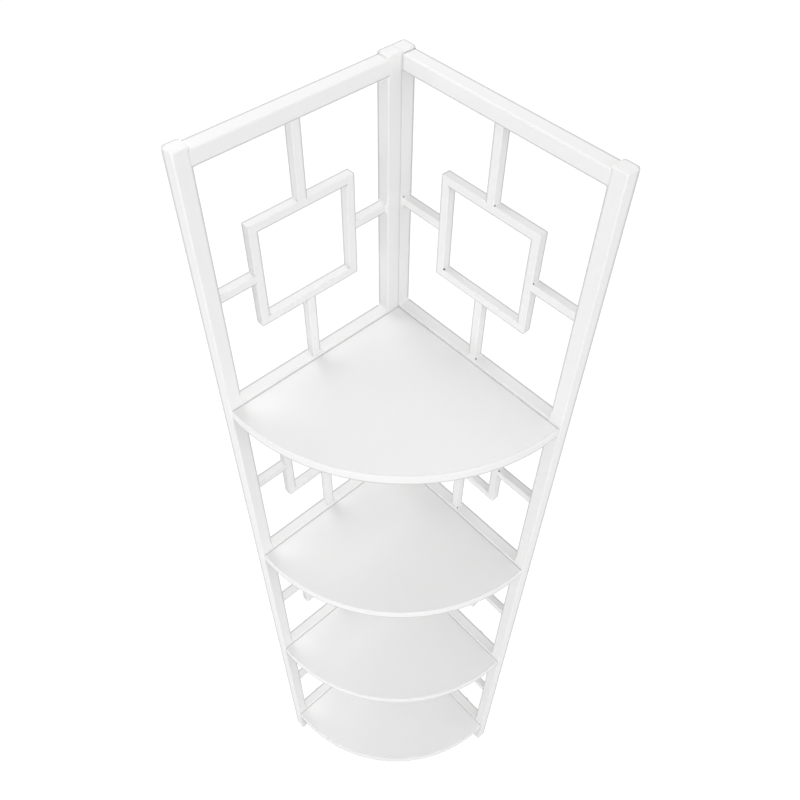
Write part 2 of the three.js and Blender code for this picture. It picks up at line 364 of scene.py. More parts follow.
class Finishes:
    """The unit's finishes, one material for each slot of the record."""

    def __init__(self) -> None:
        """Builds one material for each slot."""
        white, shelf_white = (0.880, 0.880, 0.877), (0.872, 0.872, 0.869)
        thin = (0.835, 0.837, 0.838)
        cap, cap_cloud = (0.885, 0.885, 0.882), (0.860, 0.861, 0.858)
        glide, glide_cloud = (0.850, 0.850, 0.846), (0.820, 0.820, 0.815)
        zinc, zinc_cloud = (0.72, 0.74, 0.76), (0.60, 0.62, 0.65)
        finishes = {
            Slot.FRAME: PowderCoat("frame_powder_coat", white, thin),
            Slot.LATTICE: PowderCoat("lattice_powder_coat", white, thin),
            Slot.SHELF: PowderCoat("shelf_powder_coat", shelf_white, thin, roughness=0.40),
            Slot.CAP: MouldedPlastic("cap_plastic", cap, cap_cloud),
            Slot.GLIDE: MouldedPlastic("glide_plastic", glide, glide_cloud, roughness=0.48),
            Slot.BOLT: ZincPlate("bolt_zinc_plate", zinc, zinc_cloud),
        }
        self.materials = {slot: finish.material() for slot, finish in finishes.items()}

    def dress(self, piece: bpy.types.Object, slot: Slot) -> None:
        """Gives a piece the material of its slot."""
        piece.data.materials.append(self.materials[slot])


# Meshes


def middle_and_half(node: str) -> tuple[Vector, Vector]:
    """Middle of a node's box, and half its size."""
    low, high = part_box(node)
    return (low + high) / 2, (high - low) / 2


def turns_from_light(ends: Ends) -> float:
    """1 where an edge between faces that look these two ways turns from the lit side to the far side, and
    so takes painted shade.
    """
    low, high = sorted(LIGHT_SIDE.dot(end) for end in ends)
    return 1.0 if low < -TURNED and high > TURNED else 0.0


@dataclass(frozen=True)
class Stop:
    """A place on an outline, with its direction out and the directions at its arc's two ends."""

    point: Vector
    normal: Vector
    ends: Ends


@dataclass(frozen=True)
class Arc:
    """A round stretch of an outline in a plane, from one angle to another."""

    x: float
    y: float
    radius: float
    start: float
    end: float
    steps: int

    def stops(self) -> list[Stop]:
        """Steps along the arc.

        Returns:
            Places along it, in order.
        """
        turns = [self.start + (self.end - self.start) * step / self.steps for step in range(self.steps + 1)]
        away = [Vector((math.cos(turn), math.sin(turn))) for turn in turns]
        centre = Vector((self.x, self.y))
        return [Stop(centre + self.radius * normal, normal, (away[0], away[-1])) for normal in away]


@dataclass(frozen=True)
class Steps:
    """How finely an outline is stepped.

    corner is the number of steps round a corner, and spacing the widest step along a straight
    stretch. shoulders are the distances of an extra stop beside each corner, or 0 for none, on the
    sides that look along X and on the others.
    """

    corner: int = 6
    spacing: float = math.inf
    shoulders: Pair = (0.0, 0.0)


class Outline:
    """A closed outline of arcs with straight stretches between them."""

    def __init__(self, arcs: Iterable[Arc], steps: Steps = Steps()) -> None:
        """Collects the outline's stops.

        Args:
            arcs: The arcs, in order.
            steps: How finely the straight stretches are stepped.
        """
        corners = [arc.stops() for arc in arcs]
        self.stops: list[Stop] = []
        for here, following in zip(corners, corners[1:] + corners[:1]):
            last, first = here[-1], following[0]
            length = (first.point - last.point).length
            pieces = max(1, round(length / steps.spacing))
            shares = [step / pieces for step in range(1, pieces)]
            shoulder = steps.shoulders[0 if abs(last.normal.x) > abs(last.normal.y) else 1]
            if 0 < 2 * shoulder < length:
                shares = [shoulder / length, 1 - shoulder / length]
            self.stops += here
            self.stops += [
                Stop(last.point.lerp(first.point, share), last.normal, (last.normal, last.normal))
                for share in shares]

    def ring(self, place: Callable[[Vector], Vector]) -> Ring:
        """The outline, with each point of its plane turned into a place in the frame."""
        return [place(stop.point) for stop in self.stops]

    def rims(self, turn: Callable[[Vector], Vector], front: Vector, front_spared: float) -> list[float]:
        """Where the outline's corners turn away from the lit side and take painted shade.

        Args:
            turn: Turns a direction of the plane into a direction in the frame.
            front: Direction of the panel's front.
            front_spared: Share of the painted shade that is spared where a stop faces the front.

        Returns:
            Up to 1 at each stop where they do, and 0 elsewhere.
        """
        return [
            turns_from_light((turn(stop.ends[0]), turn(stop.ends[1])))
            * (1 - front_spared * abs(turn(stop.normal).dot(front)))
            for stop in self.stops]


def rounded_rectangle(low: Sequence[float], high: Sequence[float], radii: Sequence[float],
                      steps: Steps) -> Outline:
    """Outline of a rectangle with rounded corners.

    Args:
        low: Its lowest X and Y.
        high: Its highest X and Y.
        radii: Radii of its corners, in the order of QUARTERS.
        steps: How finely it is stepped.

    Returns:
        The outline.
    """
    arcs = []
    for corner, ((x, y), radius) in enumerate(zip(QUARTERS, radii)):
        middle_x = (high[0] if x > 0 else low[0]) - x * radius
        middle_y = (high[1] if y > 0 else low[1]) - y * radius
        turn = QUARTER * corner
        arcs.append(Arc(middle_x, middle_y, radius, turn, turn + QUARTER, steps.corner))
    return Outline(arcs, steps)


def rounded_square(side: float, radius: float, steps: Steps) -> Outline:
    """Outline of a square tube about the origin."""
    half = side / 2
    return rounded_rectangle((-half, -half), (half, half), (radius,) * 4, steps)


class Skin:
    """Collects closed rings into one mesh and turns them into an object."""

    def __init__(self) -> None:
        """Starts an empty mesh that can carry marks."""
        self.mesh = bmesh.new()
        self.marks = {name: self.mesh.verts.layers.float.new(name) for name in (RIM, PIT)}

    def loft(self, rings: Sequence[Ring], looped: bool = False,
             marks: Sequence[Sequence[float]] = (), mark: str = RIM) -> None:
        """Joins a row of rings with faces.

        Args:
            rings: Rings with as many places each, in order.
            looped: Joins the last ring to the first. Otherwise both ends are closed.
            marks: For each ring and place, how full the mark is, from 0 to 1.
            mark: RIM or PIT.
        """
        rows = [[self.mesh.verts.new(place) for place in ring] for ring in rings]
        for row, values in zip(rows, marks):
            for corner, value in zip(row, values):
                corner[self.marks[mark]] = value
        pairs = list(zip(rows, rows[1:]))
        if looped:
            pairs.append((rows[-1], rows[0]))
        else:
            self.mesh.faces.new(rows[0][::-1])
            self.mesh.faces.new(rows[-1])
        for lower, upper in pairs:
            for step, corner in enumerate(lower):
                after = (step + 1) % len(lower)
                self.mesh.faces.new((corner, lower[after], upper[after], upper[step]))

    def draw_bar(self, outline: Outline, start: Vector, end: Vector, front: Vector,
                 front_spared: float) -> None:
        """Draws a straight bar.

        Args:
            outline: Its section.
            start: Middle of one end.
            end: Middle of the other end.
            front: Direction of the section's X, which is the panel's front.
            front_spared: Share of the painted shade that is spared on the front beside the rims.
        """
        other = (end - start).normalized().cross(front)
        rims = outline.rims(lambda normal: normal.x * front + normal.y * other, front, front_spared)
        rings = [
            outline.ring(lambda point, middle=middle: middle + point.x * front + point.y * other)
            for middle in (start, end)]
        self.loft(rings, marks=(rims, rims))

    def turn(self, centre: Vector, axis: Vector, profile: Sequence[tuple[float, float, float]],
             steps: int = 12) -> None:
        """Turns a profile about an axis.

        Args:
            centre: Place on the axis at height 0.
            axis: Direction of the axis.
            profile: Radii, heights and how full the PIT mark of painted shade is, in order.
            steps: Steps round the axis.
        """
        across = axis.orthogonal().normalized()
        other = axis.cross(across)
        around = [math.tau * step / steps for step in range(steps)]
        rings = [
            [centre + height * axis + radius * (math.cos(angle) * across + math.sin(angle) * other)
             for angle in around]
            for radius, height, _ in profile]
        self.loft(rings, marks=[[mark] * steps for _, _, mark in profile], mark=PIT)

    def piece(self, name: str, sharp: float = 38) -> bpy.types.Object:
        """Makes the object, with its large faces shaded flat up to their rounded edges.

        Args:
            name: Name of the piece.
            sharp: Angle in degrees from which an edge stays sharp.

        Returns:
            The new object, in the scene.
        """
        bmesh.ops.recalc_face_normals(self.mesh, faces=self.mesh.faces)
        data = bpy.data.meshes.new(name)
        self.mesh.to_mesh(data)
        self.mesh.free()
        data.shade_smooth()
        data.set_sharp_from_angle(angle=math.radians(sharp))
        piece = bpy.data.objects.new(name, data)
        bpy.context.scene.collection.objects.link(piece)
        shading = piece.modifiers.new("flat_faces", "WEIGHTED_NORMAL")
        shading.keep_sharp = True
        shading.weight = 100
        return piece


def hexagon(flat: float, turn: float) -> float:
    """Radius of a hexagon at an angle, by half its width across flats."""
    return flat / math.cos((turn + math.pi / 6) % (math.pi / 3) - math.pi / 6)


# Weld beads


@dataclass(frozen=True)
class Station:
    """A place in an inner corner, with the directions in which its two faces lead away from it."""

    place: Vector
    first: Vector
    second: Vector


# A blow hole from its foot over its lip to its floor: the radius in bores and in lips, the height
# in lips, and how dark its painted shade is
HOLE = ((1, 1, -3, 0), (1, 1, -0.2, 0), (1, 0.75, 0.4, 0), (1, 0.3, 0.6, 0), (1, 0, 0.3, 0.5),
        (0.9, 0, -0.4, 1), (0.1, 0, -0.5, 1))


@dataclass
class WeldBead:
    """A small fillet weld under the coat, with the ripples of its puddle.

    skin is the mesh that takes it, leg its reach along either face, seed the start of its random
    unevenness, and pit_shade how dark the painted shade on the floors of its blow holes is.
    """

    skin: Skin
    leg: float
    seed: int
    pit_shade: float = 1.0
    pit: float = 1.1 * MM
    pit_spread: Pair = (0.75, 1.1)
    pit_lip: float = 0.5 * MM
    pit_setback: float = 0.4
    root: float = 0.6 * MM
    hollow: float = 0.30
    face_steps: int = 5
    stride: float = 0.4 * MM
    size_spread: Pair = (0.9, 1.1)
    ripple_pitch: float = 1.1 * MM
    ripple_share: float = 0.05
    end_size: float = 0.45
    end_growth: float = 0.22

    def __post_init__(self) -> None:
        """Starts the bead's own row of random numbers."""
        self.random = random.Random(self.seed)

    def section(self, swell: float) -> list[Pair]:
        """Section between two faces that meet at the origin.

        Args:
            swell: Size of the bead here, as a share of its leg.

        Returns:
            Places along the first and the second face's directions.
        """
        leg = self.leg * swell
        dip = self.hollow * leg
        curve = []
        for step in range(self.face_steps + 1):
            share = step / self.face_steps
            near, middle, far = (1 - share) ** 2, 2 * share * (1 - share), share ** 2
            curve.append((near * leg + middle * dip, middle * dip + far * leg))
        return [*curve, (-self.root, leg), (-self.root, -self.root), (leg, -self.root)]

    def lay(self, stations: Sequence[Station], looped: bool) -> None:
        """Lays the bead along its path.

        Args:
            stations: Places along the path.
            looped: The path closes on itself. Otherwise the bead tapers at both ends.
        """
        travelled = 0.0
        before = stations[0].place
        phase = self.random.uniform(0, math.tau)
        size = self.random.uniform(*self.size_spread)
        rings = []
        for count, station in enumerate(stations):
            travelled += (station.place - before).length
            before = station.place
            ripple = self.ripple_share * math.sin(phase + math.tau * travelled / self.ripple_pitch)
            inwards = min(count, len(stations) - 1 - count)
            taper = 1.0 if looped else min(1.0, self.end_size + self.end_growth * inwards)
            section = self.section(size * taper * (1 + ripple))
            rings.append([station.place + x * station.first + y * station.second for x, y in section])
        self.skin.loft(rings, looped)

    def lay_straight(self, corner: Station, across: Vector, length: float) -> None:
        """Lays a straight bead in an inner corner.

        Args:
            corner: Middle of the corner line.
            across: Direction of the corner line.
            length: Length of the bead.
        """
        steps = round(length / self.stride)
        places = [corner.place + across * length * (step / steps - 0.5) for step in range(steps + 1)]
        self.lay([Station(place, corner.first, corner.second) for place in places], False)

    def leave_pit(self, corner: Station, out: Vector, depth: float) -> None:
        """Leaves a blow hole where a bead ends in an inner corner, with the lip thrown up round it and
        painted shade on its floor.

        Args:
            corner: Middle of the corner line.
            out: Direction out of the panel.
            depth: Distance of the hole's middle in that direction.
        """
        bore = self.random.uniform(*self.pit_spread) * self.pit
        lip = self.pit_lip
        profile = [
            (bores * bore + lips * lip, height * lip, dark * self.pit_shade)
            for bores, lips, height, dark in HOLE]
        between = corner.first + corner.second
        centre = corner.place + depth * out + (bore + self.pit_setback * lip) * between
        self.skin.turn(centre, (between + out).normalized(), profile)

    def lay_round(self, centre: Vector, outline: Outline, axis: Vector, out: Vector) -> None:
        """Lays a bead round the foot of a bar.

        Args:
            centre: Middle of the bar's foot.
            outline: Outline of the bar.
            axis: Direction of the bar away from its foot.
            out: One direction of the outline's plane.
        """
        other = axis.cross(out)
        stations = []
        for stop in outline.stops:
            place = centre + stop.point.x * out + stop.point.y * other
            stations.append(Station(place, stop.normal.x * out + stop.normal.y * other, axis))
        self.lay(stations, True)


# Sub-assemblies


@dataclass
class Builder:
    """Base of the sub-assemblies: it knows the finishes and reports each piece."""

    finishes: Finishes

    def settle(self, piece: bpy.types.Object, slot: Slot, *nodes: str) -> None:
        """Finishes a new piece, fixes it to the unit and lets it stand for nodes.

        Args:
            piece: The new object.
            slot: The record's slot that it takes.
            nodes: Names of the nodes that it stands for.
        """
        self.finishes.dress(piece, slot)
        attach(piece, "root")
        if nodes:
            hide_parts(*nodes)
        LOG.info("built %s", piece.name)


class PostPlace(Enum):
    """The four posts: name in the nodes, panel, side on the seam and direction to the wall.

    The side on the seam is the one beside the other corner post, if there is one. The right corner
    post counts the room's corner as its wall.
    """

    LEFT_FRONT = ("left_front", Side.LEFT, "", Vector((-1, 0, 0)))
    LEFT_CORNER = ("left_corner", Side.LEFT, "+y", Vector((-1, 0, 0)))
    RIGHT_CORNER = ("right_corner", Side.RIGHT, "-y", Vector((-1, 1, 0)).normalized())
    RIGHT_FRONT = ("right_front", Side.RIGHT, "", Vector((0, 1, 0)))

    def __init__(self, label: str, side: Side, seam_side: str, wall: Vector) -> None:
        """Keeps the post's name, panel, side on the seam and direction to the wall."""
        self.label, self.side, self.seam_side, self.wall = label, side, seam_side, wall

    @property
    def seam_corner(self) -> float:
        """Radius of the corners beside the seam."""
        return LEFT_SEAM_CORNER if self.side is Side.LEFT else RIGHT_SEAM_CORNER

    def corners(self) -> tuple[Vector, Vector]:
        """Finds the post's section, drawn up to the seam's hairline.

        Returns:
            Its lowest and its highest place, in X and Y.
        """
        low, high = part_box(f"{self.label}_post")
        if self.seam_side == "-y":
            low.y -= SEAM_GROWTH
        if self.seam_side == "+y":
            high.y += SEAM_GROWTH
        return low.xy, high.xy

    def radii(self) -> list[float]:
        """Radii of the post's corners, in the order of QUARTERS."""
        tight = {"+y": 1, "-y": -1, "": 0}[self.seam_side]
        return [self.seam_corner if y == tight else TUBE_CORNER for _, y in QUARTERS]

    def outline(self, shoulders: Pair) -> Outline:
        """Outline of the post in X and Y, with shoulders on its front and back and on its flanks."""
        turned = shoulders if self.side is Side.LEFT else shoulders[::-1]
        return rounded_rectangle(*self.corners(), self.radii(), Steps(shoulders=turned))


# Sections at a corner of a lattice ring: thirds of the turn, and shift along the bar in shoulders
MITRE = ((0, -1), (0, 0), (1, 0), (2, 0), (3, 0), (3, 1))


@dataclass
class LatticePanel(Builder):
    """One welded panel: two posts, five rails, four lattices and the beads that join them."""

    side: Side
    tube_side: float = 19 * MM
    tube_rims: Pair = (1.0 * MM, 4.4 * MM)
    rail_rims: Pair = (1.0 * MM, 2.2 * MM)
    # Shares of the painted edge shade spared on faces towards the panel's front
    tube_front_spared: float = 0.30
    lattice_side: float = 12 * MM
    lattice_corner: float = 1.2 * MM
    lattice_rims: Pair = (1.5 * MM, 2.2 * MM)
    lattice_front_spared: float = 0.10
    ring_width: float = 144 * MM
    ring_height: float = 143 * MM
    ring_outer_corner: float = 1.5 * MM
    ring_inner_corner: float = 0.15 * MM
    weld_gap: float = 0.3 * MM
    frame_bead: float = 2.4 * MM
    lattice_bead: float = 1.7 * MM
    bead_setback: float = 1.3 * MM
    bead_steps: Steps = Steps(3, 0.6 * MM)
    pit_beyond: float = 0.5 * MM
    ring_pit: float = 1.5 * MM
    # How dark the painted shade in the left panel's blow holes is
    left_pit_shade: float = 0.25
    joint_fade: float = 8 * MM
    joint_reach: float = 11 * MM
    joint_turn: float = -0.9

    def __post_init__(self) -> None:
        """Draws the outlines of its tubes."""
        self.pit_shade = 1.0 if self.side is Side.RIGHT else self.left_pit_shade
        self.tube = rounded_square(self.tube_side, TUBE_CORNER, Steps(shoulders=self.rail_rims))
        self.bar, self.ring_bar, self.bar_foot = [
            rounded_square(self.lattice_side, self.lattice_corner, steps)
            for steps in (Steps(shoulders=self.lattice_rims), Steps(shoulders=self.lattice_rims[::-1]),
                          self.bead_steps)]

    def build(self) -> None:
        """Draws and coats the tubes, then lays the beads."""
        for place in PostPlace:
            if place.side is self.side:
                self.draw_post(place)
        self.draw_rail(f"{self.side.label}_top_rail")
        for level in LEVELS:
            self.draw_rail(f"{self.side.label}_shelf_rail_{level}")
            self.draw_lattice(f"{self.side.label}_lattice_{level}")
        self.lay_frame_beads()
        self.lay_lattice_beads()

    def draw_post(self, place: PostPlace) -> None:
        """Draws an upright. A front post's painted edge shade stops where the shelf rails meet it.

        Args:
            place: Which post it is.
        """
        name = f"{place.label}_post"
        low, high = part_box(name)
        outline = place.outline(self.rail_rims if place.seam_side else self.tube_rims)
        edge_shades = outline.rims(lambda normal: normal.to_3d(), self.side.out, self.tube_front_spared)
        joined = edge_shades if place.seam_side else [
            0.0 if any(end.to_3d().dot(self.side.free) < self.joint_turn for end in stop.ends) else value
            for stop, value in zip(outline.stops, edge_shades)]
        levels = [(low.z, edge_shades)]
        for level in reversed(LEVELS):
            bottom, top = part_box(f"{self.side.label}_shelf_rail_{level}")
            above = top.z + self.joint_reach
            levels += [(bottom.z - self.joint_fade, edge_shades), (bottom.z, joined),
                       (above, joined), (above + self.joint_fade, edge_shades)]
        levels.append((high.z, edge_shades))
        skin = Skin()
        skin.loft(
            [outline.ring(lambda point, height=height: Vector((point.x, point.y, height)))
             for height, _ in levels],
            marks=[rims for _, rims in levels])
        self.settle(skin.piece(f"{name}_tube"), Slot.FRAME, name)

    def draw_rail(self, name: str) -> None:
        """Draws a rail, whose ends lap over the posts' rounded corners as ground welds do.

        Args:
            name: Name of its node.
        """
        middle, half = middle_and_half(name)
        along = self.side.along
        reach = (half.dot(along) + self.weld_gap + TUBE_CORNER) * along
        skin = Skin()
        skin.draw_bar(self.tube, middle - reach, middle + reach, self.side.out, self.tube_front_spared)
        self.settle(skin.piece(f"{name}_tube"), Slot.FRAME, name)

    def arms(self, name: str) -> list[tuple[Vector, Vector, float, float]]:
        """Finds how a lattice's bars lie.

        Args:
            name: Name of its node.

        Returns:
            For the two directions of the bars, the direction, the one sideways, half the lattice's
            length and half the ring's.
        """
        low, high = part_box(name)
        along = self.side.along
        return [
            (along, UP, (high - low).dot(along) / 2, self.ring_width / 2),
            (UP, along, (high.z - low.z) / 2, self.ring_height / 2)]

    def draw_lattice(self, name: str) -> None:
        """Draws a lattice: a mitred square ring and the four bars that hold it.

        Args:
            name: Name of its node.
        """
        middle, _ = middle_and_half(name)
        skin = Skin()
        rings, rims = self.ring_sections(middle)
        skin.loft(rings, looped=True, marks=rims)
        for arm, _, reach, ring in self.arms(name):
            for sign in (-1, 1):
                foot = middle + sign * (reach + self.weld_gap) * arm
                head = middle + sign * (ring - self.lattice_corner) * arm
                skin.draw_bar(self.bar, foot, head, self.side.out, self.lattice_front_spared)
        self.settle(skin.piece(f"{name}_bars"), Slot.LATTICE, name)

    def ring_sections(self, middle: Vector) -> tuple[list[Ring], list[list[float]]]:
        """Sections of the square ring, fanned out at its corners, with a section before and after each.

        Args:
            middle: Middle of the ring.

        Returns:
            The sections, in order round the ring, and their rims.
        """
        half = self.lattice_side / 2
        inner, outer = self.ring_inner_corner, self.ring_outer_corner
        span = Vector((self.ring_width / 2 - half, self.ring_height / 2 - half))
        rings, rims = [], []
        for corner, (x, y) in enumerate(QUARTERS):
            # Painted shade fills the mitre of a corner that turns from the lit side
            fan = turns_from_light((self.facing(QUARTER * corner), self.facing(QUARTER * (corner + 1))))
            for step, shift in MITRE:
                turn = QUARTER * (corner + step / 3)
                outwards = self.facing(turn)
                aside = shift * self.lattice_rims[0] * self.facing(turn + QUARTER)
                ring = []
                for stop in self.ring_bar.stops:
                    share = (stop.point.x + half) / self.lattice_side
                    radius = inner + share * (outer - inner)
                    across = x * (span.x + stop.point.x - radius) + radius * math.cos(turn)
                    upright = y * (span.y + stop.point.x - radius) + radius * math.sin(turn)
                    ring.append(
                        middle + across * self.side.along + upright * UP
                        + stop.point.y * self.side.out + aside)
                rings.append(ring)
                values = self.ring_bar.rims(
                    lambda normal, outwards=outwards: normal.x * outwards + normal.y * self.side.out,
                    self.side.out, self.lattice_front_spared)
                if shift == 0:
                    values = [
                        max(value, fan) if stop.normal.x > FACING else value
                        for value, stop in zip(values, self.ring_bar.stops)]
                rims.append(values)
        return rings, rims

    def facing(self, turn: float) -> Vector:
        """Direction in the panel's plane, at an angle from along to up."""
        return math.cos(turn) * self.side.along + math.sin(turn) * UP

    def lay_frame_beads(self) -> None:
        """Lays the beads between rails and posts, below each rail and above all but the top one."""
        skin = Skin()
        rails = [f"{self.side.label}_top_rail"]
        rails += [f"{self.side.label}_shelf_rail_{level}" for level in LEVELS]
        for count, name in enumerate(rails):
            middle, half = middle_and_half(name)
            reach = half.dot(self.side.along) + self.weld_gap
            depth = 2 * abs(half.dot(self.side.out)) - 2 * self.bead_setback
            for end in (-1, 1):
                for up in ((-1,) if count == 0 else (-1, 1)):
                    place = middle + end * reach * self.side.along + up * half.z * UP
                    bead = WeldBead(skin, self.frame_bead, 40 * count + 10 * end + up)
                    corner = Station(place, -end * self.side.along, up * UP)
                    bead.lay_straight(corner, self.side.out, depth)
        self.settle(skin.piece(f"{self.side.label}_frame_welds"), Slot.FRAME)

    def lay_lattice_beads(self) -> None:
        """Lays the beads at both ends of the lattices' bars, and leaves their blow holes.

        They are in the corners that open upwards and to the panel's free end.
        """
        skin = Skin()
        out = self.side.out
        depth = self.lattice_side - 2 * self.lattice_corner
        for level in LEVELS:
            name = f"{self.side.label}_lattice_{level}"
            middle, _ = middle_and_half(name)
            for turn, (arm, sideways, reach, ring) in enumerate(self.arms(name)):
                for sign in (-1, 1):
                    seed = 1000 + 100 * level + 10 * turn + sign
                    bead = WeldBead(skin, self.lattice_bead, seed, self.pit_shade)
                    foot = middle + sign * (reach + self.weld_gap) * arm
                    bead.lay_round(foot, self.bar_foot, -sign * arm, out)
                    for flank in (-1, 1):
                        second = flank * sideways
                        aside = flank * self.lattice_side / 2 * sideways
                        at_ring = Station(middle + sign * ring * arm + aside, sign * arm, second)
                        at_foot = Station(foot + aside, -sign * arm, second)
                        bead.lay_straight(at_ring, out, depth)
                        for corner in (at_ring, at_foot):
                            if corner.first + second == self.side.free + UP:
                                bead.leave_pit(corner, out, depth / 2 + self.pit_beyond)
            self.pit_ring(skin, middle, level)
        self.settle(skin.piece(f"{self.side.label}_lattice_welds"), Slot.LATTICE)

    def pit_ring(self, skin: Skin, middle: Vector, level: int) -> None:
        """Leaves a blow hole in the ring's lower inner corner that opens to the panel's free end.

        Args:
            skin: Mesh that takes it.
            middle: Middle of the ring.
            level: Level of the lattice, counted from the top.
        """
        bead = WeldBead(skin, self.lattice_bead, 3000 + level, self.pit_shade, self.ring_pit)
        inner_width = self.ring_width / 2 - self.lattice_side
        inner_height = self.ring_height / 2 - self.lattice_side
        place = middle - inner_width * self.side.free - inner_height * UP
        depth = self.lattice_side / 2 - self.lattice_corner + self.pit_beyond
        bead.leave_pit(Station(place, self.side.free, UP), self.side.out, depth)


@dataclass
class FoldedShelf(Builder):
    """One quarter-round shelf, folded down all round, with a nut inside each bolt hole.

    level is its level, counted from the top.
    """

    level: int
    sheet: float = 1.2 * MM
    bend: float = 1.6 * MM
    wall_bend: float = 0.5 * MM
    least_inner_bend: float = 0.3 * MM
    corner: float = 0.8 * MM
    least_corner: float = 0.05 * MM
    bulge: float = 82.3 * MM
    cut_edge: float = 0.25 * MM
    lip_rim: float = 3.2 * MM
    crease_width: float = 0.7 * MM
    crease_depth: float = 0.55 * MM
    crease_gap: float = 0.15 * MM
    seat: float = 0.25 * MM
    nut_width: float = 10 * MM
    nut_height: float = 5 * MM
    nut_bore: float = 6 * MM
    nut_chamfer: float = 0.6 * MM
    nut_slope: float = 1.7
    nut_steps: int = 48
    bend_steps: int = 6
    arc_steps: int = 120

    def __post_init__(self) -> None:
        """Reads the shelf's box."""
        self.low, self.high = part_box(f"shelf_{self.level}")
        self.low.x -= self.seat
        self.high.y += self.seat

    def outline(self, inset: float) -> Outline:
        """Quarter-round outline of the shelf, drawn in from its edge.

        Args:
            inset: How far it is drawn in.

        Returns:
            Outline whose corners are rounded, in the frame's X and Y.
        """
        left_tip, right_tip = self.low.xy, self.high.xy
        chord = right_tip - left_tip
        bulge, steps = self.bulge, self.bend_steps
        radius = (chord.length_squared / 4 + bulge ** 2) / (2 * bulge)
        inwards = Vector((-chord.y, chord.x)).normalized()
        centre = (left_tip + right_tip) / 2 + (radius - bulge) * inwards
        corner = max(self.least_corner, self.corner - inset)
        radius -= inset
        near_x = self.low.x + inset + corner
        near_y = self.high.y - inset - corner
        tip_y = centre.y - math.sqrt((radius - corner) ** 2 - (near_x - centre.x) ** 2)
        tip_x = centre.x + math.sqrt((radius - corner) ** 2 - (near_y - centre.y) ** 2)
        left_turn = math.atan2(tip_y - centre.y, near_x - centre.x)
        right_turn = math.atan2(near_y - centre.y, tip_x - centre.x)
        return Outline((
            Arc(near_x, near_y, corner, QUARTER, math.pi, steps),
            Arc(near_x, tip_y, corner, math.pi, math.tau + left_turn, steps),
            Arc(centre.x, centre.y, radius, left_turn, right_turn, self.arc_steps),
            Arc(tip_x, near_y, corner, right_turn, QUARTER, steps),
        ))

    def profile(self, bend: float, crease_depth: float) -> list[tuple[float, float, Ends]]:
        """Section of the folded edge, from the top face round to the underside.

        Args:
            bend: Outer radius of the bend.
            crease_depth: Depth of the crease behind the bend.

        Returns:
            Insets from the outline, heights from the top, and the directions that the two faces
            beside that place look in, as shares outwards and upwards.
        """
        outwards, upwards, downwards = Vector((1, 0)), Vector((0, 1)), Vector((0, -1))
        lip = self.high.z - self.low.z
        turns = [QUARTER * step / self.bend_steps for step in range(self.bend_steps + 1)]
        flat, bent, cut = (upwards, upwards), (upwards, outwards), (outwards, downwards)
        outer = [(bend * (1 - math.sin(turn)), bend * (math.cos(turn) - 1), bent) for turn in turns]
        near = self.bend + self.crease_gap
        crease = [
            (near + self.crease_width, 0, flat),
            (near + self.crease_width / 2, -crease_depth, flat),
            (near, 0, flat),
        ]
        inner = max(self.least_inner_bend, bend - self.sheet)
        middle = self.sheet + inner
        inside = [
            (middle - inner * math.sin(turn), inner * math.cos(turn) - middle, flat)
            for turn in turns]
        # The lip fades into painted shade from lip_rim down to its cut edge
        foot = [
            (0, self.lip_rim - lip, flat),
            (0, self.cut_edge - lip, cut),
            (self.cut_edge, -lip, cut),
            (self.sheet - self.cut_edge, -lip, flat),
            (self.sheet, self.cut_edge - lip, flat),
        ]
        return crease + outer + foot + inside[::-1]

    def nut(self, skin: Skin, seat: Vector, axis: Vector) -> None:
        """Adds a chamfered hexagon nut.

        Args:
            skin: Mesh that takes it.
            seat: Middle of its seat on the flange.
            axis: Direction from the seat along the bore.
        """
        other = axis.cross(UP)
        flat = self.nut_width / 2
        top = self.nut_height
        chamfer = (0, self.nut_chamfer / 3, self.nut_chamfer)
        heights = chamfer + tuple(top - height for height in reversed(chamfer))
        rings = []
        for step in range(self.nut_steps):
            turn = math.tau * step / self.nut_steps
            direction = math.cos(turn) * UP + math.sin(turn) * other
            points = [seat + self.nut_bore / 2 * direction]
            for height in heights:
                reach = min(hexagon(flat, turn), flat + self.nut_slope * min(height, top - height))
                points.append(seat + height * axis + reach * direction)
            points.append(seat + top * axis + self.nut_bore / 2 * direction)
            rings.append(points)
        skin.loft(rings, looped=True)

    def fold(self, skin: Skin) -> None:
        """Folds the sheet down all round, more sharply along the walls.

        Args:
            skin: Mesh that takes it.
        """
        rings, rims = [], []
        front = self.profile(self.bend, self.crease_depth)
        wall = self.profile(self.wall_bend, 0.0)
        for (inset, drop, (upper, lower)), (wall_inset, wall_drop, _) in zip(front, wall):
            ring, values = [], []
            for stop, other in zip(self.outline(inset).stops, self.outline(wall_inset).stops):
                faces_room = LIGHT_SIDE.xy.dot(stop.normal) > 0
                point, fall = (stop.point, drop) if faces_room else (other.point, wall_drop)
                ring.append(point.to_3d() + (self.high.z + fall) * UP)
                out = stop.normal.to_3d()
                faces = upper.x * out + upper.y * UP, lower.x * out + lower.y * UP
                # Painted shade on folds that turn away from the lit side
                values.append(turns_from_light(faces))
            rings.append(ring)
            rims.append(values)
        skin.loft(rings, marks=rims)

    def build(self) -> None:
        """Folds the sheet and adds a nut at each bolt."""
        skin = Skin()
        self.fold(skin)
        for side in Side:
            for count in (1, 2):
                place, _ = middle_and_half(f"{side.label}_shelf_bolt_{self.level}_{count}")
                place.z = (self.low.z + self.high.z) / 2
                if side is Side.RIGHT:
                    place.y = self.high.y - self.sheet
                else:
                    place.x = self.low.x + self.sheet
                self.nut(skin, place, side.out)
        name = f"shelf_{self.level}"
        self.settle(skin.piece(f"{name}_folded_sheet"), Slot.SHELF, name)


